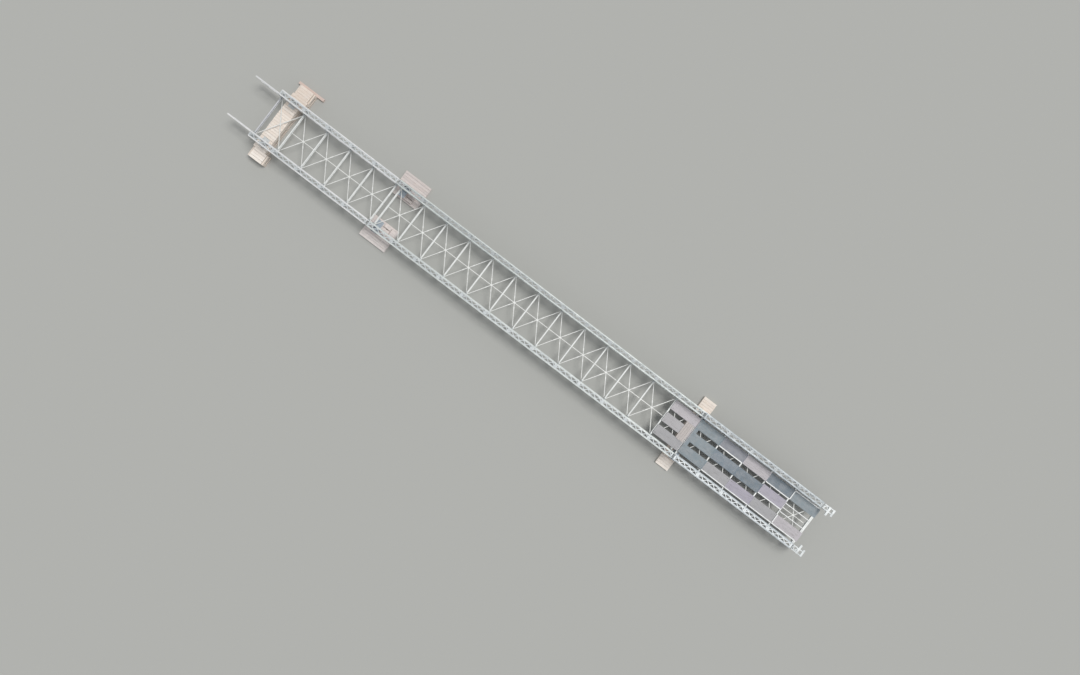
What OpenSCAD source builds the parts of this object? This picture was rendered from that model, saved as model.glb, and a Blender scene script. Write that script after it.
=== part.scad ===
// Steel panel bridge at half size, as it stands on rollers and timber while it is
// pushed across a gap: a light nose, the main span and a tail with deck units on it.
// X runs along the bridge from nose to tail, Y across it and Z up from the ground.

/* [Truss panels] */
// Length of one truss panel from pin to pin
bay_l = 1524; // [1300:1:1800]
// Height of one truss panel from pin to pin
pin_h = 724; // [600:1:1100]
// Depth of a chord channel
chord_h = 51; // [44:1:64]
// Depth of the hollow on each side of a chord
flange_w = 24; // [18:1:30]
// Thickness of a chord's flanges
channel_t = 5; // [4:0.5:7]
// Thickness of a chord's middle, between the hollows of its two channels
chord_core = 34; // [28:1:44]
// Width of a panel's posts and diagonals
strut_w = 34; // [26:1:42]
// Thickness of a panel's posts and diagonals across the bridge
strut_t = 24; // [18:1:34]
// Distance from a panel's pin to the end of its channels
lug_l = 20; // [16:1:28]
// Thickness of the lugs that join the panels
lug_t = 22; // [16:1:26]
// Diameter of a panel pin
pin_d = 22; // [16:1:30]

/* [Layout] */
// Bays at the tip that have only their inner trusses
lead_bays = 1; // [1:1:2]
// Bays in the nose
nose_bays = 5; // [2:1:6]
// Bays in the main span
span_bays = 13; // [6:1:14]
// Bays in the tail
tail_bays = 5; // [4:1:6]
// Distance between the pins across a junction post
junction_l = 136; // [110:1:200]
// Length of the frame at the tail's end
end_frame_l = 760; // [640:1:900]
// Clear width between the trusses
road_w = 2360; // [2250:1:2600]
// Distance between the two trusses of a girder
line_pitch = 236; // [200:0.5:300]

/* [Floor] */
// Depth of a transom
transom_h = 127; // [100:1:150]
// Width of a transom's flanges
transom_w = 64; // [50:1:76]
// Thickness of a transom's flanges and web
transom_t = 7; // [5:0.5:9]
// Width of a sway brace
brace_w = 34; // [20:1:44]
// Thickness of a sway brace
brace_t = 20; // [12:1:24]
// Width of a raker
raker_w = 26; // [18:1:30]

/* [Top bracing] */
// Strokes of lacing in one bay
lacing_strokes = 8; // [6:1:10]
// Width of a lacing bar
lacing_w = 40; // [20:1:46]
// Thickness of a lacing bar
lacing_t = 8; // [5:1:12]

/* [Deck units] */
// Depth of a deck unit
deck_h = 62; // [50:1:80]
// Gap between two deck units of a row
deck_joint = 24; // [16:1:40]
// Width of the open slots between the rows of deck units
deck_slot = 235; // [200:1:300]
// Distance of the rows to the north of their place about the centreline
deck_shift = 35; // [0:1:60]
// Sideways distance of the middle row's last unit from its row
loose_shift = 75; // [0:1:140]
// Thickness of a deck unit's top plate and ribs
deck_t = 6; // [4:1:8]
// Ribs under a deck unit
deck_ribs = 5; // [3:1:7]
// Height of the edge bars above the deck
kerb_h = 40; // [20:1:60]
// Width of the edge bars
kerb_w = 26; // [16:1:36]
// Width of the two bearers that lie in the open bay of the middle row
bearer_w = 40; // [24:1:60]
// Distance of those bearers from the centreline
bearer_off = 262; // [200:1:300]

/* [Rollers] */
// Diameter of a launching roller
roller_d = 80; // [60:1:100]
// Width of a launching roller
roller_w = 70; // [50:1:76]
// Distance between the two rollers under a truss
roller_pitch = 220; // [120:1:300]
// Thickness of the roller bed's plates
roller_plate = 12; // [8:1:16]

/* [Timber supports] */
// Height of the span's underside above the ground
clear_h = 600; // [540:1:800]
// Distance from the outer trusses' tips to the middle of the crib
crib_x = 510; // [440:1:900]
// Length of the crib along the bridge
crib_w = 790; // [600:1:860]
// How much further the crib reaches towards the span at its two ends
crib_step = 200; // [160:1:300]
// Reach of the crib to the north of the centreline
crib_north = 2350; // [2250:1:2600]
// Reach of the crib to the south of the centreline
crib_south = 2330; // [2200:1:2400]
// Length of the baulk beside the crib
baulk_l = 1650; // [900:1:1900]
// Width and height of the baulk beside the crib
baulk_w = 150; // [100:1:200]
// Length of the left bank's mats along the bridge
left_mat_l = 1680; // [1400:1:2100]
// Reach of the left bank's north mats from the centreline
left_mat_north = 2160; // [2100:1:2400]
// Reach of the left bank's south mats from the centreline
left_mat_south = 2100; // [2050:1:2400]
// Distance of the left bank's mats from the centreline
mat_in = 740; // [600:1:760]
// Length of the right bank's mats along the bridge
right_mat_l = 800; // [780:1:1200]
// Reach of the right bank's mats to each side of the centreline
right_mat_out = 2215; // [2150:1:2500]
// Thickness of one mat layer
mat_t = 75; // [60:1:95]
// Length of the packing under the rollers along the bridge
pack_l = 460; // [440:1:600]
// Length of the spare packing beside the left bank's rollers
spare_l = 420; // [300:1:500]

/* [Hidden] */

// Gap left where one piece rests against another
seat = 0.3;
// Overlap where two bars are welded
weld = 2;
// Gap between a transom and the panel post beside it
post_gap = 1;
// Gap between neighbouring chord reinforcements, braces and timbers
end_gap = 4;
// Gap between the outer deck units and the rakers' feet
deck_gap = 32;
// Width of the bars in the upright cross frames
frame_w = 20;
// Distance of the rakers' feet from the inner trusses
raker_in = 40;
// Frames at the tail's end: where their bars begin, width of their posts, and their ties
end_bar_x = 90;
end_post_w = 50;
end_tie_w = 110;
end_tie_x = 386;
// How far the first top ties of the end frames reach in between the girders
end_reach = 240;
// Distance from the last transom to the end frames' first ties
end_seat = 74;
// Reach of the roller beds beyond the outer and the inner trusses
bed_out = 60;
crib_bed_in = 170;
left_bed_in = 350;
right_bed_in = 120;
// Timbers and mats of the crib and the packing
crib_layers = 4;
crib_mats = 8;
crib_timber_w = 150;
packing_layers = 3;
// How far the crib's end mats and the baulk beside it lie towards the span
mat_shift = 140;
baulk_shift = 170;
// Distance of the bank rollers from the first joint beside them
left_bank_off = 220;
right_bank_off = 182;
// Distance of the banks' mats from their rollers along the bridge
left_mat_shift = 170;
right_mat_shift = -100;

chord_w = 2 * flange_w + chord_core;
post_x = lug_l + strut_w / 2;
inner_y = road_w / 2 + chord_w / 2;
outer_y = inner_y + line_pitch;
edge_in = road_w / 2;
edge_out = outer_y + chord_w / 2;
transom_off = lug_l + strut_w + post_gap + transom_w / 2;

// Shape of a panel's diamonds: half their height and length, and a strut's share of both
mid_h = pin_h / 2;
half_x = (bay_l / 2 - post_x) / 2;
side_off = strut_w / 2 * norm([half_x, mid_h]) / (half_x * mid_h);
corner_z = mid_h * (1 - side_off - strut_w / 2 / half_x);

// Stations along the bridge
total_l = (lead_bays + nose_bays + span_bays + tail_bays) * bay_l + 2 * junction_l + end_frame_l;
tip_x = -total_l / 2;
nose_x = tip_x + lead_bays * bay_l;
nose_end = nose_x + nose_bays * bay_l;
span_x = nose_end + junction_l;
span_end = span_x + span_bays * bay_l;
tail_x = span_end + junction_l;
tail_end = tail_x + tail_bays * bay_l;

// Levels above the ground
chord_z = clear_h + chord_h + seat;
low_pin_z = chord_z + chord_h / 2;
floor_z = chord_z + chord_h + seat;
transom_top = floor_z + transom_h;
chord_top = chord_z + pin_h + chord_h;
top_chord_z = chord_z + pin_h;
span_top = chord_top + seat + chord_h;

// Stations of the transoms, those of the tail spread evenly up to the end frames
transom_rise = chord_h / 2 + seat + transom_h;
transom_room = post_x + strut_w / 2 + (corner_z - transom_rise) * half_x / mid_h - post_gap - transom_w / 2;
last_off = end_tie_x - end_seat - end_gap - 1.5 * transom_w;
tail_step = (last_off - transom_off) / tail_bays;
nose_transom_x = [for (i = [0:nose_bays]) nose_x + i * bay_l - transom_off];
span_transom_x = concat(
  [for (i = [0:span_bays - 1]) span_x + i * bay_l + transom_off],
  [span_end - transom_off]
);
tail_transom_x = concat(
  [for (i = [0:tail_bays - 1]) tail_x + i * bay_l + min(transom_off + i * tail_step, transom_room)],
  [tail_end + last_off]
);
tail_beam_x = concat(tail_transom_x, [tail_end + last_off + transom_w + end_gap]);

// Deck units: their size, and where each begins along the bridge
deck_count = tail_bays + 1;
deck_l = bay_l + tail_step - deck_joint;
deck_margin = deck_shift + raker_in + raker_w / 2 + deck_gap;
deck_w = (road_w - 2 * deck_margin - 2 * deck_slot) / 3;
deck_seats = concat([span_transom_x[span_bays - 1]], tail_transom_x);
deck_z = transom_top + seat;
deck_top = deck_z + deck_h;

// Timber and roller stations and levels
crib_at = nose_x + crib_x;
left_bank_x = span_x + left_bank_off;
right_bank_x = tail_x + right_bank_off;
bed_h = 2 * roller_plate + roller_d;
crib_top = chord_z - seat - bed_h - seat;
crib_layer = (crib_top - (crib_layers - 1) * seat) / crib_layers;
pack_z = 2 * (mat_t + seat);
pack_layer = (clear_h - seat - bed_h - seat - pack_z - (packing_layers - 1) * seat) / packing_layers;

// The bridge's centreline in the frame whose origin is the middle of the ground plan
north_reach = crib_north + seat + baulk_w;
south_reach = max(crib_south, left_mat_south, right_mat_out);
axis_y = -(north_reach - south_reach) / 2;

steel = "gainsboro";
timber = "burlywood";

module on_axis() {
  translate([0, axis_y, 0]) children();
}

// A flat bar between two points of the plane
module bar(p, q, w) {
  d = q - p;
  translate(p) rotate(atan2(d.y, d.x)) translate([0, -w / 2]) square([norm(d), w]);
}

// A flat shape stood up: its X stays along the bridge and its Y becomes height
module upright(t) {
  rotate([90, 0, 0]) linear_extrude(t, center = true) children();
}

// A flat shape turned to face along the bridge: its X lies across and its Y is height
module facing(t) {
  rotate([90, 0, 90]) linear_extrude(t, center = true) children();
}

// A chord from x = 0 to l with its underside on z = 0: channels back to back, closed between
module chord(l) {
  rim = chord_w / 2;
  core = chord_core / 2;
  top = chord_h - channel_t;
  translate([l / 2, 0, 0]) facing(l) polygon([
    [-rim, 0], [rim, 0], [rim, channel_t], [core, channel_t], [core, top], [rim, top],
    [rim, chord_h], [-rim, chord_h], [-rim, top], [-core, top], [-core, channel_t], [-rim, channel_t]
  ]);
}

// The posts and the two diamonds of diagonals that fill a panel
module panel_web() {
  foot = mid_h - chord_h / 2 + weld;
  far = foot + weld;
  in = 1 - side_off;
  post = half_x - strut_w / 2;
  upright(strut_t) difference() {
    translate([lug_l, mid_h - foot]) square([bay_l - 2 * lug_l, 2 * foot]);
    for (x = [post_x + half_x, bay_l - post_x - half_x]) translate([x, mid_h]) {
      polygon([[-half_x * in, 0], [0, mid_h * in], [half_x * in, 0], [0, -mid_h * in]]);
      for (sx = [-1, 1], sz = [-1, 1]) polygon([
        [sx * post, sz * (mid_h - corner_z)],
        [sx * post, sz * far],
        [sx * half_x * (1 + side_off - far / mid_h), sz * far]
      ]);
    }
  }
}

// A lug from one x to another at the height of a pin
module lug(x0, x1) {
  translate([x0, -lug_t / 2, -chord_h / 2 + channel_t]) cube([x1 - x0, lug_t, chord_h - 2 * channel_t]);
}

module panel_pin(l) {
  rotate([90, 0, 0]) cylinder(d = pin_d, h = l, center = true, $fn = 32);
}

// A line of panels pinned end to end
module truss_line(x, y, bays) {
  bite = lug_l + weld;
  nose = pin_d / 2 + channel_t;
  translate([x, y, low_pin_z]) color(steel) union() {
    for (i = [0:bays - 1]) translate([i * bay_l, 0, 0]) {
      panel_web();
      for (z = [0, pin_h]) translate([lug_l, 0, z - chord_h / 2]) chord(bay_l - 2 * lug_l);
    }
    for (z = [0, pin_h]) translate([0, 0, z]) {
      lug(-nose, bite);
      translate([bays * bay_l, 0, 0]) lug(-bite, nose);
      if (bays > 1) for (i = [1:bays - 1]) translate([i * bay_l, 0, 0]) {
        lug(-bite, bite);
        panel_pin(chord_w - 2 * weld);
      }
    }
  }
}

module inner_nose_truss(side) {
  truss_line(tip_x, side * inner_y, lead_bays + nose_bays);
}

// Chord reinforcements, one a bay on each truss of a girder
module reinforcement(side, z) {
  for (y = [inner_y, outer_y], run = [[span_x, span_bays], [tail_x, tail_bays]], i = [0:run[1] - 1])
    translate([run[0] + i * bay_l + end_gap / 2, side * y, z]) color(steel) chord(bay_l - end_gap);
}

// Lacing over the gap between a girder's two trusses, its bars ending within the side rails
module lacing(side, x, bays, z) {
  a = line_pitch / 2 - chord_w / 2 + flange_w / 2;
  reach = a + (flange_w - lacing_w) / 2;
  step = (bay_l - end_gap - lacing_w) / lacing_strokes;
  for (i = [0:bays - 1])
    translate([x + i * bay_l, side * (inner_y + line_pitch / 2), z]) color(steel) linear_extrude(lacing_t) {
      for (y = [-a, a]) bar([end_gap / 2, y], [bay_l - end_gap / 2, y], flange_w);
      for (k = [0:lacing_strokes - 1]) {
        s = k % 2 == 0 ? 1 : -1;
        x0 = (end_gap + lacing_w) / 2 + k * step;
        bar([x0, -s * reach], [x0 + step, s * reach], lacing_w);
      }
    }
}

// Upright frames that tie a girder's two trusses together beside each joint
module cross_frame() {
  half = (line_pitch - strut_t - frame_w) / 2 - seat;
  low = transom_top + strut_w + frame_w / 2;
  high = top_chord_z - strut_w - frame_w / 2;
  facing(frame_w) {
    for (y = [-half, half]) bar([y, low - frame_w / 2], [y, high + frame_w / 2], frame_w);
    for (z = [low, high]) bar([-half, z], [half, z], frame_w);
    for (s = [-1, 1]) bar([-s * half, low], [s * half, high], frame_w);
  }
}

module cross_frames(side) {
  for (run = [[nose_x, nose_bays], [span_x, span_bays], [tail_x, tail_bays]], i = [0:run[1] - 1])
    translate([run[0] + i * bay_l + post_x, side * (inner_y + line_pitch / 2), 0])
      color(steel) cross_frame();
}

// A post between two panels at a junction, with cheeks over the panels' lugs
module junction_post() {
  cheek_in = lug_t / 2 + seat;
  reach = pin_d / 2 + channel_t;
  shaft_x = reach + end_gap;
  translate([shaft_x, -cheek_in - weld, -chord_h / 2])
    cube([junction_l - 2 * shaft_x, 2 * (cheek_in + weld), pin_h + chord_h]);
  for (z = [0, pin_h], side = [-1, 1]) translate([0, 0, z]) {
    translate([-reach, side * (cheek_in + channel_t / 2) - channel_t / 2, -chord_h / 2 + channel_t])
      cube([junction_l + 2 * reach, channel_t, chord_h - 2 * channel_t]);
    for (x = [0, junction_l])
      translate([x, side * (cheek_in + channel_t), 0]) panel_pin(2 * channel_t - weld);
  }
}

module junction_posts(x) {
  for (y = [-outer_y, -inner_y, inner_y, outer_y])
    translate([x, y, low_pin_z]) color(steel) junction_post();
}

// The frame that closes a girder at the tail: bars and lacing, then two ties on posts
module tail_end_frame() {
  cheek_in = lug_t / 2 + seat;
  last = end_frame_l - end_tie_w;
  for (y = [inner_y, outer_y]) {
    for (x = [end_tie_x, last]) translate([x + (end_tie_w - end_post_w) / 2, y - end_post_w / 2, chord_z])
      cube([end_post_w, end_post_w, pin_h + chord_h]);
    for (z = [chord_z, chord_z + pin_h])
      translate([end_bar_x, y - end_post_w / 2, z]) cube([end_frame_l - end_bar_x, end_post_w, chord_h]);
    for (z = [low_pin_z, low_pin_z + pin_h], side = [-1, 1])
      translate([-pin_d / 2, y + side * (cheek_in + channel_t / 2) - channel_t / 2, z - chord_h / 2 + weld])
        cube([pin_d / 2 + end_bar_x + weld, channel_t, chord_h - 2 * weld]);
  }
  for (tie = [[end_tie_x, end_reach], [last, end_reach / 2]], level = [0, 1]) {
    reach = level == 0 ? end_post_w / 2 : tie[1];
    translate([tie[0], inner_y - reach, chord_z + level * pin_h])
      cube([end_tie_w, line_pitch + reach + chord_w / 2, chord_h]);
  }
  middle_x = (end_bar_x + end_tie_x) / 2;
  translate([0, 0, chord_top - lacing_t]) linear_extrude(lacing_t) {
    bar([end_bar_x + end_post_w / 2, inner_y], [middle_x, outer_y], lacing_w);
    bar([middle_x, outer_y], [end_tie_x, inner_y], lacing_w);
  }
}

module tail_end_frames() {
  for (side = [0, 1]) mirror([0, side, 0]) translate([tail_end, 0, 0]) color(steel) union() tail_end_frame();
}

// Transoms: beams across the bridge that carry the deck
module transom(x) {
  translate([x, 0, floor_z]) color(steel) upright(2 * (edge_out - end_gap)) polygon([
    [-transom_w / 2, 0], [transom_w / 2, 0], [transom_w / 2, transom_t], [transom_t / 2, transom_t],
    [transom_t / 2, transom_h - transom_t], [transom_w / 2, transom_h - transom_t],
    [transom_w / 2, transom_h], [-transom_w / 2, transom_h], [-transom_w / 2, transom_h - transom_t],
    [-transom_t / 2, transom_h - transom_t], [-transom_t / 2, transom_t], [-transom_w / 2, transom_t]
  ]);
}

// A crossed pair of sway braces from transom to transom, most with a tie along the middle
module sway_bay(x0, x1, tied) {
  a = edge_in - seat;
  in = brace_w / 4;
  hub = 3 * brace_w;
  translate([0, 0, floor_z - seat - brace_t]) color(steel) linear_extrude(brace_t) {
    intersection() {
      translate([x0 + end_gap, -a]) square([x1 - x0 - 2 * end_gap, 2 * a]);
      for (s = [-1, 1]) bar([x0 + in, -s * a], [x1 - in, s * a], brace_w);
    }
    if (tied) bar([x0 + end_gap / 2, 0], [x1 - end_gap / 2, 0], brace_w);
    translate([(x0 + x1 - hub) / 2, -hub / 2]) square(hub);
  }
}

// Sway braces between all the stations, with no tie in the first few bays
module sway_braces(stations, untied) {
  for (i = [0:len(stations) - 2]) sway_bay(stations[i], stations[i + 1], i >= untied);
}

// Rakers: props from the transoms to the inner trusses' top chords
module raker_pair(x) {
  foot = edge_in - raker_in - raker_w / 2;
  head = edge_in + flange_w / 2 - raker_w / 2;
  low = transom_top + seat;
  high = top_chord_z - seat;
  for (side = [0, 1]) mirror([0, side, 0]) translate([x, 0, 0]) color(steel)
    facing(raker_w) polygon([[foot, low], [foot + raker_w, low], [head + raker_w, high], [head, high]]);
}

module rakers() {
  for (x = concat(nose_transom_x, span_transom_x)) raker_pair(x);
}

// Middle of a deck unit across the bridge, in row -1, 0 or 1
function unit_y(row, k) = row * (deck_w + deck_slot) + deck_shift
  + (row == 0 && k == deck_count - 2 ? loose_shift : 0);

module at_unit(row, k, z) {
  translate([deck_seats[k] + deck_joint / 2, unit_y(row, k), z]) children();
}

// Deck units: steel plates on ribs, loose on the transoms
module deck_unit() {
  rib_h = deck_h - deck_t;
  translate([0, -deck_w / 2, 0]) union() {
    translate([0, 0, rib_h]) cube([deck_l, deck_w, deck_t]);
    for (i = [0:deck_ribs - 1])
      translate([0, i * (deck_w - deck_t) / (deck_ribs - 1), 0]) cube([deck_l, deck_t, rib_h + weld]);
    for (x = [0, deck_l - deck_t]) translate([x, 0, 0]) cube([deck_t, deck_w, rib_h + weld]);
  }
}

module deck_row(row, count, tone) {
  for (k = [0:count - 1]) at_unit(row, k, deck_z) color(tone) deck_unit();
}

// Edge bars on some of the units, and two bearers in the middle row's open bay
module deck_edge_bars() {
  last = deck_count - 1;
  along = concat(
    [for (k = [2:last]) [-1, k, -1]],
    [[1, 2, -1], [1, last - 1, -1], [0, last - 1, -1], [1, last, 1]]
  );
  for (b = along) at_unit(b[0], b[1], deck_top + seat)
    translate([0, b[2] * (deck_w - kerb_w) / 2 - kerb_w / 2, 0]) color(steel) cube([deck_l, kerb_w, kerb_h]);
  for (row = [-1, 1]) at_unit(row, last, deck_top + seat)
    translate([0, -deck_w / 2 + (row < 0 ? kerb_w + end_gap : 0), 0])
      color(steel) cube([kerb_w, deck_w - kerb_w - end_gap, kerb_h]);
  bearer_x = deck_seats[last] + deck_joint / 2;
  for (s = [-1, 1]) translate([bearer_x, s * bearer_off - bearer_w / 2, deck_z])
    color(steel) cube([deck_seats[last + 1] + transom_w / 2 - bearer_x, bearer_w, kerb_h]);
}

// Rollers in a bed under one girder, with the rollers' tops at z
module roller_bed(z, reach_in) {
  base_z = z - seat - bed_h;
  bed_l = roller_pitch + 2 * roller_d;
  bed_y = edge_in - reach_in;
  translate([-bed_l / 2, bed_y, base_z]) cube([bed_l, edge_out + bed_out - bed_y, roller_plate]);
  for (y = [bed_y, edge_out + bed_out - roller_plate])
    translate([-bed_l / 2, y, base_z]) cube([bed_l, roller_plate, 2 * roller_plate]);
  for (y = [inner_y, outer_y]) {
    for (s = [-1, 1])
      translate([-bed_l / 2, y + s * (roller_w / 2 + end_gap + roller_plate / 2) - roller_plate / 2, base_z])
        cube([bed_l, roller_plate, bed_h - roller_plate]);
    for (s = [-1, 1]) translate([s * roller_pitch / 2, y, z - seat - roller_d / 2]) rotate([90, 0, 0]) {
      cylinder(d = roller_d, h = roller_w, center = true, $fn = 48);
      cylinder(d = roller_d / 4, h = roller_w + 2 * end_gap + 2 * roller_plate, center = true, $fn = 32);
    }
  }
}

module roller_beds(x, z, reach_in) {
  for (side = [0, 1]) mirror([0, side, 0]) translate([x, 0, 0])
    color("darkgray") union() roller_bed(z, reach_in);
}

// A timber with its corner at x, y, z, laid along the bridge or across it
module beam(x, y, z, l, w, h, along_x) {
  translate([x, y, z]) cube(along_x ? [l, w, h] : [w, l, h]);
}

// Timbers side by side from one edge to the other
module timber_row(x0, x1, y0, y1, z, h, count, along_x) {
  w = ((along_x ? y1 - y0 : x1 - x0) - (count - 1) * end_gap) / count;
  for (i = [0:count - 1]) {
    at = i * (w + end_gap);
    if (along_x) beam(x0, y0 + at, z, x1 - x0, w, h, true);
    else beam(x0 + at, y0, z, y1 - y0, w, h, false);
  }
}

// Timbers spread evenly from one edge to the other
module spaced_timbers(x0, x1, y0, y1, z, h, w, count, along_x) {
  pitch = ((along_x ? y1 - y0 : x1 - x0) - w) / (count - 1);
  for (i = [0:count - 1]) {
    if (along_x) beam(x0, y0 + i * pitch, z, x1 - x0, w, h, true);
    else beam(x0 + i * pitch, y0, z, y1 - y0, w, h, false);
  }
}

// The crib under the nose: crossed layers of timber, wider at both ends
crib_x0 = crib_at - crib_w / 2;
crib_x1 = crib_at + crib_w / 2;
mat_w = (crib_north + crib_south - (crib_mats - 1) * end_gap) / crib_mats;
mat_pitch = mat_w + end_gap;
north_step_y = -crib_south + (crib_mats - 2) * mat_pitch;
south_step_y = -crib_south + mat_w;
module crib_timbers() {
  level = crib_layer + seat;
  color(timber) for (z = [0, 2 * level]) {
    spaced_timbers(crib_x0, crib_x1, -crib_south, crib_north, z, crib_layer, crib_timber_w, 4, false);
    for (y = [[-crib_south, south_step_y], [north_step_y, crib_north]])
      beam(crib_x1 + crib_step - crib_timber_w, y[0], z, y[1] - y[0], crib_timber_w, crib_layer, false);
  }
  count = 9;
  pitch = (crib_south + crib_north - crib_timber_w) / (count - 1);
  color(timber) for (i = [0:count - 1]) {
    y = -crib_south + i * pitch;
    long = y + crib_timber_w <= south_step_y || y >= north_step_y;
    beam(crib_x0, y, level, crib_w + (long ? crib_step : 0), crib_timber_w, crib_layer, true);
  }
}

module crib_top_mats() {
  color(timber) for (i = [0:crib_mats - 1]) {
    shift = i == 0 || i == crib_mats - 1 ? mat_shift : 0;
    beam(crib_x0 + shift, -crib_south + i * mat_pitch, (crib_layers - 1) * (crib_layer + seat),
      crib_w + (i == crib_mats - 2 ? crib_step : 0), mat_w, crib_layer, true);
  }
}

module crib_side_baulk() {
  x = crib_at + baulk_shift - baulk_l / 2;
  color(timber) beam(x, crib_north + seat, 0, baulk_l, baulk_w, baulk_w, true);
}

// Crossed layers of packing from the mats up to a roller bed
module packing(x, y0, y1) {
  color(timber) for (i = [0:packing_layers - 1])
    spaced_timbers(x - pack_l / 2, x + pack_l / 2, y0, y1, pack_z + i * (pack_layer + seat), pack_layer,
      crib_timber_w, 3, i % 2 == 0);
}

// Two crossed layers of mats between two distances from the centreline, to the north
module mat_layers(x, l, y0, y1) {
  color(timber) {
    timber_row(x - l / 2, x + l / 2, y0, y1, 0, mat_t, 4, false);
    timber_row(x - l / 2, x + l / 2, y0, y1, mat_t + seat, mat_t, 5, true);
  }
}

module left_bank_mats() {
  for (side = [0, 1]) mirror([0, side, 0]) {
    mat_layers(left_bank_x + left_mat_shift, left_mat_l, mat_in,
      side == 0 ? left_mat_north : left_mat_south);
    packing(left_bank_x, edge_in - left_bed_in, edge_out + bed_out);
    spare_x = left_bank_x + pack_l / 2 + end_gap;
    color(timber) for (i = [0, 1]) {
      z = pack_z + i * (pack_layer + seat);
      spaced_timbers(spare_x, spare_x + spare_l, edge_in - left_bed_in, edge_in, z, pack_layer,
        crib_timber_w, 2, i == 1);
    }
  }
}

module right_bank_mats() {
  for (side = [0, 1]) mirror([0, side, 0]) {
    mat_layers(right_bank_x + right_mat_shift, right_mat_l, end_gap / 2, right_mat_out);
    packing(right_bank_x, edge_in - right_bed_in, edge_out + bed_out);
  }
}

on_axis() inner_nose_truss(1);  // north_inner_nose_truss
on_axis() truss_line(nose_x, outer_y, nose_bays);  // north_outer_nose_truss
on_axis() inner_nose_truss(-1);  // south_inner_nose_truss
on_axis() truss_line(nose_x, -outer_y, nose_bays);  // south_outer_nose_truss
on_axis() truss_line(span_x, inner_y, span_bays);  // north_inner_span_truss
on_axis() truss_line(span_x, outer_y, span_bays);  // north_outer_span_truss
on_axis() truss_line(span_x, -inner_y, span_bays);  // south_inner_span_truss
on_axis() truss_line(span_x, -outer_y, span_bays);  // south_outer_span_truss
on_axis() truss_line(tail_x, inner_y, tail_bays);  // north_inner_tail_truss
on_axis() truss_line(tail_x, outer_y, tail_bays);  // north_outer_tail_truss
on_axis() truss_line(tail_x, -inner_y, tail_bays);  // south_inner_tail_truss
on_axis() truss_line(tail_x, -outer_y, tail_bays);  // south_outer_tail_truss
on_axis() reinforcement(1, chord_top + seat);  // north_top_reinforcement
on_axis() reinforcement(-1, chord_top + seat);  // south_top_reinforcement
on_axis() reinforcement(1, clear_h);  // north_bottom_reinforcement
on_axis() reinforcement(-1, clear_h);  // south_bottom_reinforcement
on_axis() lacing(1, nose_x, nose_bays, chord_top + seat);  // north_nose_lacing
on_axis() lacing(-1, nose_x, nose_bays, chord_top + seat);  // south_nose_lacing
on_axis() lacing(1, span_x, span_bays, span_top + seat);  // north_span_lacing
on_axis() lacing(-1, span_x, span_bays, span_top + seat);  // south_span_lacing
on_axis() lacing(1, tail_x, tail_bays, span_top + seat);  // north_tail_lacing
on_axis() lacing(-1, tail_x, tail_bays, span_top + seat);  // south_tail_lacing
on_axis() cross_frames(1);  // north_cross_frames
on_axis() cross_frames(-1);  // south_cross_frames
on_axis() junction_posts(nose_end);  // left_junction_posts
on_axis() junction_posts(span_end);  // right_junction_posts
on_axis() tail_end_frames();
on_axis() for (x = nose_transom_x) transom(x);  // nose_transoms
on_axis() for (x = span_transom_x) transom(x);  // span_transoms
on_axis() for (x = tail_beam_x) transom(x);  // tail_transoms
on_axis() sway_braces(nose_transom_x, 1);  // nose_sway_braces
on_axis() sway_braces(span_transom_x, 0);  // span_sway_braces
on_axis() sway_braces(tail_transom_x, 0);  // tail_sway_braces
on_axis() rakers();
on_axis() deck_row(1, deck_count, "silver");  // north_deck_units
on_axis() deck_row(0, deck_count - 1, "darkgray");  // middle_deck_units
on_axis() deck_row(-1, deck_count, "silver");  // south_deck_units
on_axis() deck_edge_bars();
on_axis() crib_timbers();
on_axis() crib_top_mats();
on_axis() crib_side_baulk();
on_axis() left_bank_mats();
on_axis() right_bank_mats();
on_axis() roller_beds(crib_at, chord_z, crib_bed_in);  // crib_rollers
on_axis() roller_beds(left_bank_x, clear_h, left_bed_in);  // left_bank_rollers
on_axis() roller_beds(right_bank_x, clear_h, right_bed_in);  // right_bank_rollers
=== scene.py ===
# Looks of the half-size panel bridge on its launching supports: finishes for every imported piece,
# boards in place of the plain timber, and the small steelwork. X runs from nose to tail, Z is up.
import math
import random
from itertools import product

import bmesh
import bpy
from mathutils import Matrix, Vector


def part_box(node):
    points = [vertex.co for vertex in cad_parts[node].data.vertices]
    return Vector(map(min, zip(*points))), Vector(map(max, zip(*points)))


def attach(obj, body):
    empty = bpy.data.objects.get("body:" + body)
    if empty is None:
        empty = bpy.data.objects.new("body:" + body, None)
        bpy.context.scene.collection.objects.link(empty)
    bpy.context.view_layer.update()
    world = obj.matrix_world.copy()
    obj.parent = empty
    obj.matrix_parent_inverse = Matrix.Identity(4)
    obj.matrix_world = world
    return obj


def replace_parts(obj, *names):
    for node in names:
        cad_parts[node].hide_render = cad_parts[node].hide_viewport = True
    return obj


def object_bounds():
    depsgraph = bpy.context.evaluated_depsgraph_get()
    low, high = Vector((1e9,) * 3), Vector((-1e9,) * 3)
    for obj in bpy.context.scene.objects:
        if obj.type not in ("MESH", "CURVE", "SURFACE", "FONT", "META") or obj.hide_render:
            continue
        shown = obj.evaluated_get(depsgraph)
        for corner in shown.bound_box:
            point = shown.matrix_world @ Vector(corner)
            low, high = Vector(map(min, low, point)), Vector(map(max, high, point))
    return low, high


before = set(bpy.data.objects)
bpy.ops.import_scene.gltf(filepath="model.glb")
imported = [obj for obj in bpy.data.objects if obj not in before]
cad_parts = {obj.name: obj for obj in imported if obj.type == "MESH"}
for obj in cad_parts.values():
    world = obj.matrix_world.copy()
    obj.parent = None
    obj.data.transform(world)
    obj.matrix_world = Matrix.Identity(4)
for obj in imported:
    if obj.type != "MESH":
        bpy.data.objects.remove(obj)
cad_lo, cad_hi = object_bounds()
random.seed(41)

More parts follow.
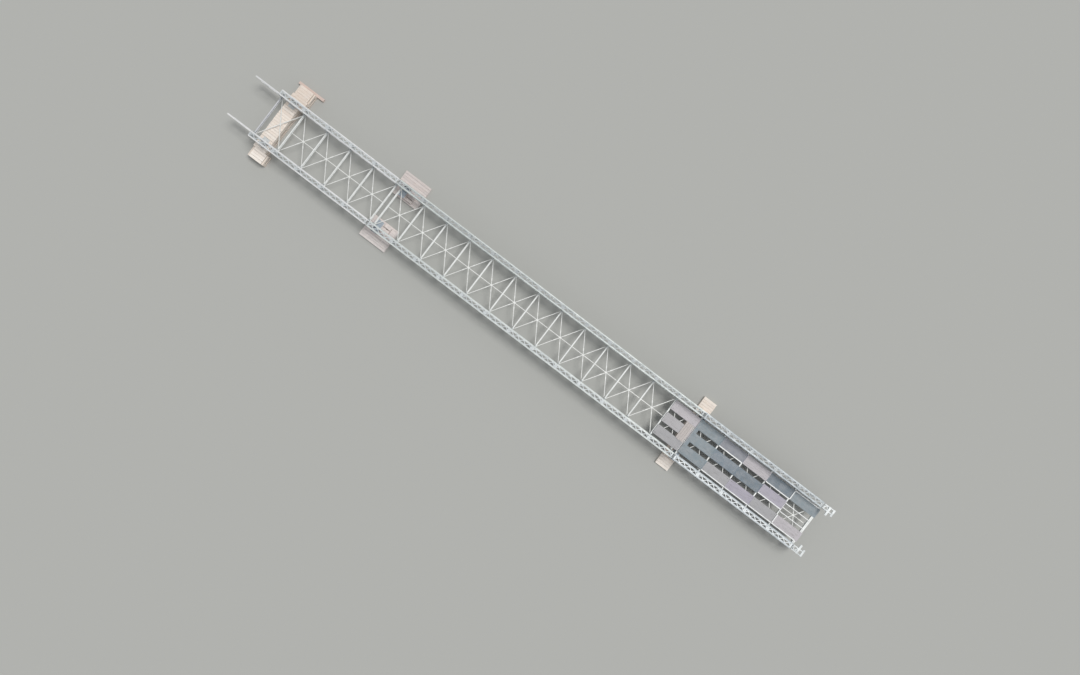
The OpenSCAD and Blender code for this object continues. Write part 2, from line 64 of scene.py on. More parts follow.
SIDES = ("north", "south")
LINES = ("inner", "outer")
SECTIONS = ("nose", "span", "tail")
CORNERS = tuple(product((-1, 1), repeat=2))

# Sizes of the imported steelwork, in metres
BAY = 1.524
LUG = 0.016
POST_START = 0.020
CHORD_H = 0.051
CHORD_W = 0.082
FLANGE = 0.024
STRUT_W = 0.034
STRUT_T = 0.024
LINE_PITCH = 0.236
TRANSOM_W = 0.064
TRANSOM_T = 0.007
BRACE_W = 0.034
BRACE_T = 0.020
LACING_W = 0.040
LACING_STROKES = 8
END_GAP = 0.004
ROLLER_D = 0.080
ROLLER_W = 0.070
ROLLER_PITCH = 0.220
ROLLER_PLATE = 0.012
ROLLER_GAP = 0.004
DECK_PITCH = 1.549
TONES_FROM = 0.110
SEAT = 0.0003

# Small gaps and steps between what is added here and its neighbours
SKIN = 0.0004
PROUD = 0.0002
HAIR = 0.0005
INSET = 0.001
BEVEL = 0.002
PLATE_T = 0.003

# How close two points, and two edges along the bridge, count as one
MERGE = 1e-5
SAME = 2e-4

# A bolt's washer and head as shares of its size
WASHER_R = 0.95
WASHER_T = 0.16
HEAD_R = 0.62
HEAD_H = 0.62
HEAD_BEVEL = 0.1

# Pins and plates of the panels. A tapered plate is given as its foot, its head and its height
PIN_OUT = 0.033
PIN_R = 0.0155
PIN_H = 0.0075
CLIP = (0.003, 0.044, 0.004)
GUSSET = (0.150, 0.090, 0.050)
MIDDLE_PLATE_REACH = 0.060
MIDDLE_PLATE_H = 0.044
CHORD_BOLT = 0.012
CHORD_BOLTS_AT = (0.12, 0.37, 0.63, 0.88)
LACING_GUSSET = (0.092, 0.048, 0.040)
BATTEN_W = 0.070
BATTEN_RISE = 0.003

# Fittings of the transoms, sway braces and rakers
STIFFENERS_Y = (-1.06, -0.8, -0.4, 0, 0.4, 0.8, 1.06)
STIFFENER_T = 0.006
STIFFENER_IN = 0.003
CLAMP_L = 0.052
CLAMP_NEAR = 0.022
CLAMP_FAR = 0.045
CLAMP_T = 0.008
CLAMP_BOLT = 0.014
EYE_FROM_EDGE = 0.032
EYE_BACK = 0.040
EYE_FRONT = 0.035
EYE_W = 0.046
EYE_UNDER = 0.004
BRACE_PIN_R = 0.013
BRACE_PIN_L = 0.032
BRACE_PIN_UNDER = 0.010
SLEEVE_AT = 0.30
SLEEVE_L = 0.140
SLEEVE_W = 0.050
SLEEVE_OVER = 0.005
HUB_BOLT = 0.012
HUB_BOLT_AT = 0.036
FOOT_IN = 0.040
FOOT_L = 0.056
FOOT_W = 0.068
FOOT_T = 0.006
FOOT_BOLT = 0.009
FOOT_BOLT_AT = (0.020, 0.025)

# Details of the deck units. The tread bars split a unit's width into equal parts
TREAD_PARTS = 10
TREAD_W = 0.007
TREAD_END = 0.020
LIFT_R = 0.017
LIFT_X = 0.110
LIFT_Y = 0.090
LIP_REACH = 0.045
LIP_T = 0.006
EDGE_FLANGE_W = 0.026
EDGE_FLANGE_H = 0.020
JOINT_REACH = {"north": 0.018, "middle": 0.018, "south": 0.055}
STRIP_W = 0.018
STRIP_DROP = 0.002
COVER_L = 0.220
COVER_T = 0.010

# Timber. OUTSIDE is how far from the bridge's middle the boards lie clear of the girders
OUTSIDE = 1.25
BOARD_W = 0.150
BOARD_EDGE = 0.006
BOARD_END_EDGE = 0.4
BOARD_GAP = 0.010
BOARD_END_PLAY = 0.012
BOARD_TOP_PLAY = 0.003
BOARD_TONE = 0.5
BOARD_TONE_SPREAD = 0.2
GRAIN_DRIFT = 30
SLOT_BOARDS = 4
SLOT_BOARD_L = 1.040
SLOT_BOARD_W = 0.114
SLOT_BOARD_T = 0.022
SLOT_BOARD_PITCH = 0.118
SLOT_BOARD_PAST = 0.055
SLOT_BOARD_SIDE = 0.530
SLOT_BOARD_PLAY = 0.020

# Nuts and bolts of the rollers
ROLLER_NUT = 0.022
BED_BOLT = 0.014
BED_BOLT_AT = (0.030, 0.035)

# The camera of the photograph, straight above the bridge
IMAGE_W = 1080
FOCAL_PX = 720
SENSOR_MM = 36.0
CAMERA_AT = (1.145, -0.7305, 38.76)
CAMERA_TURN = math.radians(37.32)
VIEW_END = 1000

# The studio: a wide soft lamp, an even sky and a pale floor
SKY_TINT = (0.96, 0.98, 1.0, 1)
SKY_STRENGTH = 0.47
KEY_TINT = (1.0, 0.98, 0.95)
KEY_STRENGTH = 1.83
KEY_ANGLE = math.radians(24)
KEY_FROM = (0.30, 0.32, 1.0)
FLOOR_REACH = 400.0
FLOOR_TONE = (178, 179, 176)

# Colours, in eight-bit sRGB. Steel is given as its pale and its dark tone
ZINC = {
    "nose": ((244, 244, 244), (206, 208, 210)),
    "span": ((232, 236, 234), (190, 196, 196)),
    "tail": ((216, 221, 226), (176, 182, 190)),
}
# The transoms' zinc is paler than the trusses': painted light that lifts the shade under their flanges
WHITE_ZINC_PAINTED_LIGHT = ((243, 245, 244), (222, 225, 224))
ZINC_STAIN = (122, 104, 88)
RUST = (112, 78, 54)
DECK_TONES = {
    "pale": (194, 189, 195),
    "beige": (180, 178, 182),
    "grey": (167, 167, 171),
    "mauve": (172, 167, 184),
    "dusk": (132, 136, 148),
    "green": (128, 143, 152),
    "slate": (112, 128, 142),
    "dark": (100, 117, 131),
}
DECK_ROWS = {
    "north": ("pale", "green", "dusk", "pale", "dark", "green"),
    "middle": ("beige", "green", "slate", "dark", "mauve"),
    "south": ("grey", "green", "grey", "mauve", "grey", "pale"),
}
DUST = (190, 189, 191)
DIRT = (88, 84, 78)
GRIT = (204, 204, 204)

# Woods as their pale, brown and weathered tones, and how far they are weathered
WOODS = {
    "crib": ((253, 246, 238), (220, 203, 189), (226, 219, 214), 0.40),
    "crib_base": ((238, 228, 218), (212, 198, 186), (202, 196, 191), 0.5),
    "baulk": ((226, 208, 200), (196, 174, 164), (192, 180, 174), 0.4),
    "left_bank": ((242, 234, 231), (196, 184, 180), (206, 202, 202), 0.5),
    "right_bank": ((252, 244, 236), (222, 205, 190), (228, 221, 216), 0.35),
    "slot_board": ((206, 199, 196), (186, 179, 176), (180, 176, 175), 0.4),
}
CRACK_TONE = (70, 58, 48)

# Timber pieces as their name, node, slot and wood, and how much darker their north and south ends are. A
# negative value makes an end paler: the paler south ends are painted light over the shadow that the south
# girder casts on them
TIMBER = (
    ("crib_top_boards", "crib_top_mats", "crib_timber", "crib", 0.70, -0.45),
    ("crib_lower_boards", "crib_timbers", "crib_timber", "crib_base", 0.0, 0.0),
    ("crib_baulk", "crib_side_baulk", "crib_timber", "baulk", 0.0, 0.0),
    ("left_bank_boards", "left_bank_mats", "bank_timber", "left_bank", 0.25, -0.6),
    ("right_bank_boards", "right_bank_mats", "bank_timber", "right_bank", -0.05, -0.6),
)

# Where most of a noise's values lie
MIDRANGE = (0.3, 0.7)


def linear(colour):
    """A colour in eight-bit sRGB as the linear colour that Blender takes."""
    def channel(value):
        share = value / 255
        return share / 12.92 if share <= 0.04045 else ((share + 0.055) / 1.055) ** 2.4
    return (*(channel(value) for value in colour), 1.0)


class Shader:
    """A material with a Principled shader, and short calls that add nodes to it."""

    def __init__(self, name):
        self.material = bpy.data.materials.new(name)
        self.material.use_nodes = True
        self.tree = self.material.node_tree
        self.shader = self.tree.nodes["Principled BSDF"]

    def add(self, kind, inputs=None, **settings):
        """A node of a kind, with its settings and with what goes into its inputs."""
        made = self.tree.nodes.new("ShaderNode" + kind)
        for key, value in settings.items():
            setattr(made, key, value)
        for key, value in (inputs or {}).items():
            self.feed(made.inputs[key], value)
        return made

    def feed(self, socket, value):
        """Links an output to a socket, or sets the socket to a constant."""
        if isinstance(value, bpy.types.NodeSocket):
            self.tree.links.new(value, socket)
        else:
            socket.default_value = value

    def scaled(self, vector, scale):
        return self.add("VectorMath", {0: vector, 1: scale}, operation="MULTIPLY").outputs[0]

    def place(self, offset=(0, 0, 0), scale=(1, 1, 1)):
        """Object coordinates, moved and scaled."""
        at = self.add("TexCoord").outputs["Object"]
        moved = self.add("VectorMath", {0: at, 1: offset}, operation="SUBTRACT").outputs[0]
        return self.scaled(moved, scale)

    def along(self):
        """The place along the bridge."""
        return self.add("SeparateXYZ", {0: self.place()}).outputs["X"]

    def noise(self, at, scale, detail=4.0, rough=0.55):
        values = {"Vector": at, "Scale": scale, "Detail": detail, "Roughness": rough}
        return self.add("TexNoise", values).outputs["Fac"]

    def spread(self, value, low, high, to_low=0.0, to_high=1.0):
        """A value between two limits as one between two others."""
        values = {"Value": value, "From Min": low, "From Max": high, "To Min": to_low, "To Max": to_high}
        return self.add("MapRange", values).outputs["Result"]

    def blend(self, factor, first, second, mode="MIX"):
        made = self.add("Mix", data_type="RGBA", blend_type=mode)
        self.feed(made.inputs[0], factor)
        self.feed(made.inputs[6], first)
        self.feed(made.inputs[7], second)
        return made.outputs[2]

    def maths(self, kind, first, second):
        return self.add("Math", {0: first, 1: second}, operation=kind).outputs[0]

    def weighed(self, *terms):
        """The sum of some values, each times its weight."""
        parts = [self.maths("MULTIPLY", value, weight) for value, weight in terms]
        total = parts[0]
        for part in parts[1:]:
            total = self.maths("ADD", total, part)
        return total

    def within(self, start, end):
        """One between two places along the bridge, and nought elsewhere."""
        along = self.along()
        past = self.maths("GREATER_THAN", along, start)
        return self.maths("MULTIPLY", past, self.maths("LESS_THAN", along, end))

    def bump(self, height, strength, distance):
        values = {"Height": height, "Strength": strength, "Distance": distance}
        self.feed(self.shader.inputs["Normal"], self.add("Bump", values).outputs["Normal"])

    def finish(self, colour, roughness, metallic=0.0, specular=0.5):
        self.feed(self.shader.inputs["Base Color"], colour)
        self.feed(self.shader.inputs["Roughness"], roughness)
        self.shader.inputs["Metallic"].default_value = metallic
        self.shader.inputs["Specular IOR Level"].default_value = specular
        return self.material


def galvanised(name, pale, dark, first_x=0.0, metallic=0.25, duller=None):
    """Weathered zinc: a tone of its own on each panel, fine spangle, blotches and a little brown staining.
    A duller stretch is given as where it starts and ends along the bridge, and its tint."""
    look = Shader(name)
    at = look.place()
    cell = look.place(offset=(first_x, 0, 0), scale=(1 / BAY, 1 / LINE_PITCH, 0))
    cell = look.add("VectorMath", {0: cell}, operation="FLOOR").outputs[0]
    panel = look.add("TexWhiteNoise", {"Vector": cell}, noise_dimensions="3D").outputs["Value"]
    blotch = look.noise(at, scale=4.0, detail=6.0)
    spangle = look.add("TexVoronoi", {"Vector": at, "Scale": 70.0}, feature="F1").outputs["Color"]
    fleck = look.add("SeparateColor", {0: spangle}).outputs[0]
    share = look.weighed((look.spread(blotch, *MIDRANGE), 0.55), (panel, 0.25), (fleck, 0.20))
    colour = look.blend(share, linear(pale), linear(dark))
    streak = look.noise(look.place(scale=(9, 9, 2.5)), scale=1.6, detail=8.0, rough=0.65)
    stained = look.spread(streak, 0.56, 0.76, to_high=0.25)
    colour = look.blend(stained, colour, linear(ZINC_STAIN))
    if duller:
        start, end, tint = duller
        colour = look.blend(look.within(start, end), colour, tint, "MULTIPLY")
    look.bump(look.noise(at, scale=55.0, detail=3.0), strength=0.12, distance=0.002)
    return look.finish(colour, look.spread(blotch, *MIDRANGE, to_low=0.42, to_high=0.62), metallic)


def deck_paint(row):
    """Worn non-slip coating, with a tone for each unit along the row, dust, dirt along the row and grit."""
    look = Shader(f"deck_{row}")
    tones = DECK_ROWS[row]
    count = len(tones)
    first_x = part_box(f"{row}_deck_units")[0].x + TONES_FROM
    unit = look.spread(look.along(), first_x, first_x + count * DECK_PITCH)
    ramp = look.add("ValToRGB", {0: unit})
    ramp.color_ramp.interpolation = "CONSTANT"
    for k, tone in enumerate(tones):
        stop = ramp.color_ramp.elements[k] if k < 2 else ramp.color_ramp.elements.new(k / count)
        stop.position = k / count
        stop.color = linear(DECK_TONES[tone])
    at = look.place()
    blotch = look.spread(look.noise(at, scale=3.2, detail=8.0, rough=0.62), 0.36, 0.66)
    colour = look.blend(look.maths("MULTIPLY", blotch, 0.34), ramp.outputs[0], linear(DUST))
    smear = look.noise(look.place(scale=(1.2, 7, 7)), scale=2.2, detail=8.0, rough=0.7)
    colour = look.blend(look.spread(smear, 0.52, 0.72, to_high=0.42), colour, linear(DIRT))
    grit = look.noise(at, scale=260.0, detail=2.0)
    colour = look.blend(look.spread(grit, 0.55, 0.8, to_high=0.22), colour, linear(GRIT))
    relief = look.maths("ADD", grit, look.maths("MULTIPLY", blotch, 0.4))
    look.bump(relief, strength=0.35, distance=0.003)
    return look.finish(colour, look.spread(blotch, 0.0, 1.0, to_low=0.55, to_high=0.82))


def timber(name):
    """Sawn timber: each board has its own tone, and the grain follows the board's length."""
    pale, brown, grey, age = WOODS[name]
    look = Shader(f"{name}_wood")
    fibre = look.add("Attribute", attribute_name="fibre").outputs["Vector"]
    # Each board's tone also carries the painted light that makes the south ends paler
    tone = look.add("Attribute", attribute_name="board_tone_and_painted_light").outputs["Fac"]
    lengthwise = look.scaled(fibre, (1.6, 26, 26))
    grain = look.noise(lengthwise, scale=2.4, detail=8.0, rough=0.6)
    waves = {"Vector": look.scaled(fibre, (0.35, 7, 7)), "Scale": 2.2, "Distortion": 5.0, "Detail": 3.0}
    rings = look.add("TexWave", waves, bands_direction="Y").outputs["Fac"]
    off_middle = look.maths("SUBTRACT", tone, BOARD_TONE)
    share = look.weighed((look.spread(grain, *MIDRANGE), 0.55), (rings, 0.25), (off_middle, 0.7))
    colour = look.blend(share, linear(pale), linear(brown))
    weather = look.spread(look.noise(look.place(), scale=5.0, detail=6.0), 0.38, 0.68, to_high=age)
    colour = look.blend(weather, colour, linear(grey))
    crack = look.spread(look.noise(lengthwise, scale=9.0, detail=2.0), 0.66, 0.74)
    colour = look.blend(look.maths("MULTIPLY", crack, 0.5), colour, linear(CRACK_TONE))
    relief = look.maths("SUBTRACT", grain, look.maths("MULTIPLY", crack, 0.8))
    look.bump(relief, strength=0.5, distance=0.004)
    return look.finish(colour, look.spread(grain, 0.0, 1.0, to_low=0.7, to_high=0.9), specular=0.3)


def worn_steel(name, pale, dark, metallic=0.7):
    """Greased and rubbed bare steel of rollers and plates, with spots of rust."""
    look = Shader(name)
    at = look.place()
    blotch = look.noise(at, scale=14.0, detail=6.0)
    colour = look.blend(look.spread(blotch, *MIDRANGE), linear(pale), linear(dark))
    spots = look.spread(look.noise(at, scale=30.0, detail=8.0, rough=0.7), 0.58, 0.72, to_high=0.5)
    colour = look.blend(spots, colour, linear(RUST))
    look.bump(look.noise(at, scale=120.0, detail=3.0), strength=0.2, distance=0.002)
    return look.finish(colour, look.spread(blotch, *MIDRANGE, to_low=0.3, to_high=0.55), metallic)


def truss_zinc(section):
    """The zinc of one section's trusses, whose panels' tones start at its first joint."""
    return galvanised(f"truss_{section}", *ZINC[section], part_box(f"north_inner_{section}_truss")[0].x + LUG)


def chord_zinc():
    """The zinc of the chord reinforcements, duller along the tail."""
    lo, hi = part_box("north_inner_span_truss")
    tail = (hi.x, cad_hi.x, (0.78, 0.80, 0.86, 1.0))
    return galvanised("chord_reinforcement", (222, 227, 225), (190, 197, 196), lo.x + LUG, duller=tail)


def nose_transom_zinc():
    """The zinc of the nose's transoms, duller on the first one at the tip."""
    tip = (cad_lo.x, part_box("nose_transoms")[0].x + BAY / 2, (0.73, 0.73, 0.77, 1.0))
    return galvanised("nose_transoms", *WHITE_ZINC_PAINTED_LIGHT, metallic=0.1, duller=tip)


BRACING = galvanised("bracing", (230, 234, 236), (198, 205, 208))
# Lit and shaded copies of the lacing's zinc. The darker copy on the north lacing of span and tail is painted
# shade for its openings. The paler copy on the south lacing of the tail is painted light over the shadow seen
# through its openings.
LACING = galvanised("lacing", (218, 222, 224), (184, 191, 195))
PAINTED_SHADE_LACING = galvanised("painted_shade_lacing", (190, 194, 196), (158, 165, 169))
PAINTED_LIGHT_LACING = galvanised("painted_light_lacing", (235, 238, 240), (207, 214, 218))
LACINGS = {
    "north": {"nose": LACING, "span": PAINTED_SHADE_LACING, "tail": PAINTED_SHADE_LACING},
    "south": {"nose": LACING, "span": LACING, "tail": PAINTED_LIGHT_LACING},
}
POSTS = galvanised("posts", (230, 233, 234), (190, 196, 198))
# The transoms' paler zinc is painted light over the shade under their flanges
TRANSOMS = galvanised("transoms", *WHITE_ZINC_PAINTED_LIGHT, metallic=0.1)
BRACES = galvanised("braces", (243, 244, 242), (224, 226, 224), metallic=0.1)
EDGE_BARS = galvanised("edge_bars", (246, 247, 247), (226, 229, 230), metallic=0.1)
PLATE_STEEL = galvanised("plates", (216, 221, 223), (178, 185, 188), metallic=0.5)
PIN_STEEL = galvanised("pins_and_bolts", (206, 210, 212), (168, 173, 176), metallic=0.4)
TREAD_STEEL = galvanised("treads", (176, 174, 170), (128, 130, 128))
CRIB_ROLLERS = worn_steel("crib_rollers", (224, 226, 226), (196, 201, 203), 0.15)
BANK_ROLLERS = worn_steel("bank_rollers", (190, 200, 210), (152, 163, 174), 0.3)
DARK_STEEL = worn_steel("dark_steel", (104, 106, 108), (66, 68, 70))
DECK_PAINTS = {row: deck_paint(row) for row in DECK_ROWS}


def trapezium(foot, head, height):
    """The outline of a tapered plate that stands on the middle of its foot."""
    return [(-foot / 2, 0), (foot / 2, 0), (head / 2, height), (-head / 2, height)]


def rectangle(lo, hi):
    return [(lo[0], lo[1]), (hi[0], lo[1]), (hi[0], hi[1]), (lo[0], hi[1])]


def eased_rectangle(half_wide, half_tall, edge):
    """The outline of a board's end, with its four corners taken off."""
    wide, tall = half_wide - edge, half_tall - edge
    return [(-wide, -half_tall), (wide, -half_tall), (half_wide, -tall), (half_wide, tall),
            (wide, half_tall), (-wide, half_tall), (-half_wide, tall), (-half_wide, -tall)]


def facing(x, y, z, axis):
    """A place at a point whose local Z looks along an axis such as '+y'."""
    turns = {"+z": 0, "-z": 180, "+y": -90, "-y": 90}
    return Matrix.Translation((x, y, z)) @ Matrix.Rotation(math.radians(turns[axis]), 4, "X")


def raised(place, height):
    return place @ Matrix.Translation((0, 0, height))


class Parts:
    """Gathers many small solids into one mesh."""

    def __init__(self):
        self.verts = []
        self.faces = []

    def add(self, points, faces, place):
        start = len(self.verts)
        self.verts += [place @ Vector(p) for p in points]
        self.faces += [[start + i for i in face] for face in faces]

    def prism(self, outline, height, place):
        """An outline in the local XY plane, carried up from z = 0."""
        n = len(outline)
        points = [(x, y, z) for z in (0, height) for x, y in outline]
        sides = [[n + (i + 1) % n, n + i, i, (i + 1) % n] for i in range(n)]
        self.add(points, [list(range(n))[::-1], list(range(n, 2 * n)), *sides], place)

    def box(self, lo, hi, place=Matrix.Identity(4)):
        self.prism(rectangle(lo, hi), hi[2] - lo[2], raised(place, lo[2]))

    def block(self, size, place):
        """A box of a size that stands on the middle of its foot."""
        length, width, height = size
        self.box((-length / 2, -width / 2, 0), (length / 2, width / 2, height), place)

    def disc(self, radius, height, place, sides=16, bevel=0.0):
        """A round or many-sided head with its rim taken off at the top."""
        turn = 2 * math.pi / sides
        rings = [(radius, 0), (radius, height - bevel)]
        if bevel:
            rings.append((radius - bevel, height))
        points = [(r * math.cos(i * turn), r * math.sin(i * turn), z)
                  for r, z in rings for i in range(sides)]
        faces = [list(range(sides))[::-1], list(range(len(points) - sides, len(points)))]
        for ring in range(len(rings) - 1):
            at = ring * sides
            faces += [[at + i, at + (i + 1) % sides, at + sides + (i + 1) % sides, at + sides + i]
                      for i in range(sides)]
        self.add(points, faces, place)

    def bolt(self, place, size):
        """A washer and a hexagon head, standing on the local XY plane."""
        self.disc(size * WASHER_R, size * WASHER_T, place, sides=10)
        self.disc(size * HEAD_R, size * HEAD_H, place, sides=6, bevel=size * HEAD_BEVEL)

    def piece(self, name, slot, material):
        mesh = bpy.data.meshes.new(name)
        mesh.from_pydata(self.verts, [], self.faces)
        mesh.materials.append(material)
        made = bpy.data.objects.new(name, mesh)
        bpy.context.scene.collection.objects.link(made)
        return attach(made, "root")


class Boards(Parts):
    """Boards with their own tone and with grain coordinates along their length."""

    def __init__(self):
        super().__init__()
        self.fibres = []
        self.tones = []

    def board(self, lo, hi, tone_and_painted_light=0.0):
        """One timber in a box, with eased edges, along the box's longer side in plan."""
        half = (hi - lo) / 2
        along = 0 if half.x >= half.y else 1
        across = 1 - along
        edge = min(BOARD_EDGE, half[across] / 3, half.z / 3)
        start = len(self.verts)
        ends = [(-half[along], BOARD_END_EDGE), (-half[along] + edge, 1),
                (half[along] - edge, 1), (half[along], BOARD_END_EDGE)]
        # A board's tone is its own random tone plus the shift for its end of the bridge, which at the paler
        # south ends is painted light
        tone = min(1.0, max(0.0, random.gauss(BOARD_TONE, BOARD_TONE_SPREAD) + tone_and_painted_light))
        drift = [random.uniform(0, GRAIN_DRIFT) for _ in range(3)]
        for offset, full in ends:
            inset = edge * (1 - full)
            ring = eased_rectangle(half[across] - inset, half.z - inset, edge)
            for side, up in ring:
                local = Vector((0, 0, up))
                local[along] = offset
                local[across] = side
                self.verts.append((lo + hi) / 2 + local)
                self.fibres.append((offset + drift[0], side + drift[1], up + drift[2]))
                self.tones.append(tone)
        self.board_faces(start, len(ends), len(ring), along == 1)

    def board_faces(self, start, rings, loop, flip):
        """The faces of a board between its rings of points, and its two ends."""
        last = (rings - 1) * loop
        faces = [list(range(loop))[::-1], [last + i for i in range(loop)]]
        for at in range(0, last, loop):
            faces += [[at + i, at + (i + 1) % loop, at + loop + (i + 1) % loop, at + loop + i]
                      for i in range(loop)]
        for face in faces:
            face = [start + i for i in face]
            self.faces.append(face[::-1] if flip else face)

    def mat(self, lo, hi, tone_and_painted_light):
        """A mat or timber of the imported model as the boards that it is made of."""
        size = hi - lo
        along = 0 if size.x >= size.y else 1
        across = 1 - along
        count = max(1, round(size[across] / BOARD_W))
        width = size[across] / count
        for k in range(count):
            low, high = lo.copy(), hi.copy()
            low[across] = lo[across] + k * width + (random.uniform(SKIN, BOARD_GAP) if k else 0)
            high[across] = lo[across] + (k + 1) * width - (SKIN if k < count - 1 else 0)
            if count > 1:
                low[along] += random.uniform(0, BOARD_END_PLAY)
                high[along] -= random.uniform(0, BOARD_END_PLAY)
                high.z -= random.uniform(0, BOARD_TOP_PLAY)
            self.board(low, high, tone_and_painted_light)

    def piece(self, name, slot, material):
        made = super().piece(name, slot, material)
        fibre = made.data.attributes.new("fibre", "FLOAT_VECTOR", "POINT")
        fibre.data.foreach_set("vector", [c for f in self.fibres for c in f])
        tone = made.data.attributes.new("board_tone_and_painted_light", "FLOAT", "POINT")
        tone.data.foreach_set("value", self.tones)
        return made


class TrussRun:
    """One truss line of one section: its first joint, number of bays, middle in Y, and levels."""

    def __init__(self, side, line, section):
        lo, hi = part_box(f"{side}_{line}_{section}_truss")
        self.line = line
        self.section = section
        self.start = lo.x + LUG
        self.bays = round((hi.x - lo.x - 2 * LUG) / BAY)
        self.y = (lo.y + hi.y) / 2
        self.low = lo.z
        self.high = hi.z


RUNS = {side: [TrussRun(side, line, section) for section in SECTIONS for line in LINES] for side in SIDES}
LINES_Y = sorted({round(run.y, 5) for runs in RUNS.values() for run in runs})


def solid_boxes(node):
    """The lowest and highest corners of each separate solid of a node of plain blocks."""
    bm = bmesh.new()
    bm.from_mesh(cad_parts[node].data)
    bmesh.ops.remove_doubles(bm, verts=bm.verts, dist=MERGE)
    left = set(bm.verts)
    boxes = []
    while left:
        island = [left.pop()]
        for vert in island:
            for edge in vert.link_edges:
                other = edge.other_vert(vert)
                if other in left:
                    left.remove(other)
                    island.append(other)
        corners = [[min(v.co[i] for v in island), max(v.co[i] for v in island)] for i in range(3)]
        boxes.append((Vector([c[0] for c in corners]), Vector([c[1] for c in corners])))
    bm.free()
    return sorted(boxes, key=lambda b: (round(b[0].z, 4), round(b[0].x, 4), b[0].y))


def transom_stations(section):
    """Middle of each transom of a section along the bridge."""
    bm = bmesh.new()
    bm.from_mesh(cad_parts[f"{section}_transoms"].data)
    edges = sorted({round(v.co.x, 4) for v in bm.verts})
    bm.free()
    return [x + TRANSOM_W / 2 for x in edges if any(abs(x + TRANSOM_W - e) < SAME for e in edges)]


def paint(nodes, material):
    for node in nodes:
        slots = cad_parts[node].data.materials
        slots.clear()
        slots.append(material)


def paint_packed_pieces():
    """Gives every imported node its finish."""
    for section in SECTIONS:
        paint([f"{side}_{line}_{section}_truss" for side in SIDES for line in LINES], truss_zinc(section))
        for side in SIDES:
            paint([f"{side}_{section}_lacing"], LACINGS[side][section])
        paint([f"{section}_sway_braces"], BRACES)
    paint([f"{side}_{level}_reinforcement" for side in SIDES for level in ("top", "bottom")], chord_zinc())
    paint(["north_cross_frames", "south_cross_frames", "rakers"], BRACING)
    paint(["left_junction_posts", "right_junction_posts", "tail_end_frames"], POSTS)
    paint(["nose_transoms"], nose_transom_zinc())
    paint(["span_transoms", "tail_transoms"], TRANSOMS)
    for row, material in DECK_PAINTS.items():
        paint([f"{row}_deck_units"], material)
    paint(["deck_edge_bars"], EDGE_BARS)
    paint(["crib_rollers"], CRIB_ROLLERS)
    paint(["left_bank_rollers", "right_bank_rollers"], BANK_ROLLERS)


def make_timber():
    """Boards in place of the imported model's plain timber blocks."""
    for name, node, slot, wood, north, south in TIMBER:
        boards = Boards()
        for lo, hi in solid_boxes(node):
            middle = (lo.y + hi.y) / 2
            # Mats past the girders take their end's shift; at the south ends it is painted light over the
            # south girder's shadow
            tone_and_painted_light = north if middle > OUTSIDE else south if middle < -OUTSIDE else 0.0
            boards.mat(lo, hi, tone_and_painted_light)
        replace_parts(boards.piece(name, slot, timber(wood)), node)


def make_slot_boards():
    """Loose boards laid over the deck's open slots beside the right junction."""
    lo, hi = solid_boxes("middle_deck_units")[0]
    boards = Boards()
    for k in range(SLOT_BOARDS):
        x = hi.x + SLOT_BOARD_PAST - k * SLOT_BOARD_PITCH
        y = (lo.y + hi.y) / 2 - SLOT_BOARD_SIDE + random.uniform(-SLOT_BOARD_PLAY, SLOT_BOARD_PLAY)
        z = hi.z + SKIN
        boards.board(Vector((x - SLOT_BOARD_W, y, z)), Vector((x, y + SLOT_BOARD_L, z + SLOT_BOARD_T)))
    boards.piece("slot_boards", "bank_timber", timber("slot_board"))


def make_pins():
    """Heads and safety clips of the pins that join the panels."""
    for side, runs in RUNS.items():
        pins = Parts()
        for run in runs:
            levels = (run.low + CHORD_H / 2, run.high - CHORD_H / 2)
            for i, z, sign in product(range(1, run.bays), levels, (1, -1)):
                axis = "+y" if sign > 0 else "-y"
                place = facing(run.start + i * BAY, run.y + sign * PIN_OUT, z, axis)
                pins.disc(PIN_R, PIN_H, place, sides=14, bevel=BEVEL)
                pins.block(CLIP, raised(place, INSET))
        pins.piece(f"{side}_panel_pins", "truss_steel", PIN_STEEL)


def add_panel_gussets(plates, run, left, sign):
    """Plates on one face of the panel that starts at a place along the bridge."""
    post = POST_START + STRUT_W / 2
    quarter = post + (BAY / 2 - post) / 2
    upright = Matrix.Translation((0, run.y + sign * STRUT_T / 2, 0)) @ Matrix.Rotation(math.pi / 2, 4, "X")
    place = raised(upright, -PLATE_T if sign > 0 else 0)
    for at in (quarter, BAY - quarter):
        for z, flip in ((run.low + CHORD_H, 1), (run.high - CHORD_H, -1)):
            shape = [(left + at + x, z + flip * y) for x, y in trapezium(*GUSSET)]
            plates.prism(shape[::flip], PLATE_T, place)
    middle = (run.low + run.high) / 2
    reach, edge = MIDDLE_PLATE_REACH, STRUT_W / 2
    for at, back, on in ((post, edge, reach), (BAY / 2, reach, reach), (BAY - post, reach, edge)):
        lo = (left + at - back, middle - MIDDLE_PLATE_H / 2)
        hi = (left + at + on, middle + MIDDLE_PLATE_H / 2)
        plates.prism(rectangle(lo, hi), PLATE_T, place)


def make_gussets():
    """Plates where the panels' diagonals meet the chords and the posts."""
    for side, runs in RUNS.items():
        plates = Parts()
        for run in runs:
            for i, sign in product(range(run.bays), (1, -1)):
                add_panel_gussets(plates, run, run.start + i * BAY, sign)
        plates.piece(f"{side}_panel_gussets", "truss_steel", PLATE_STEEL)


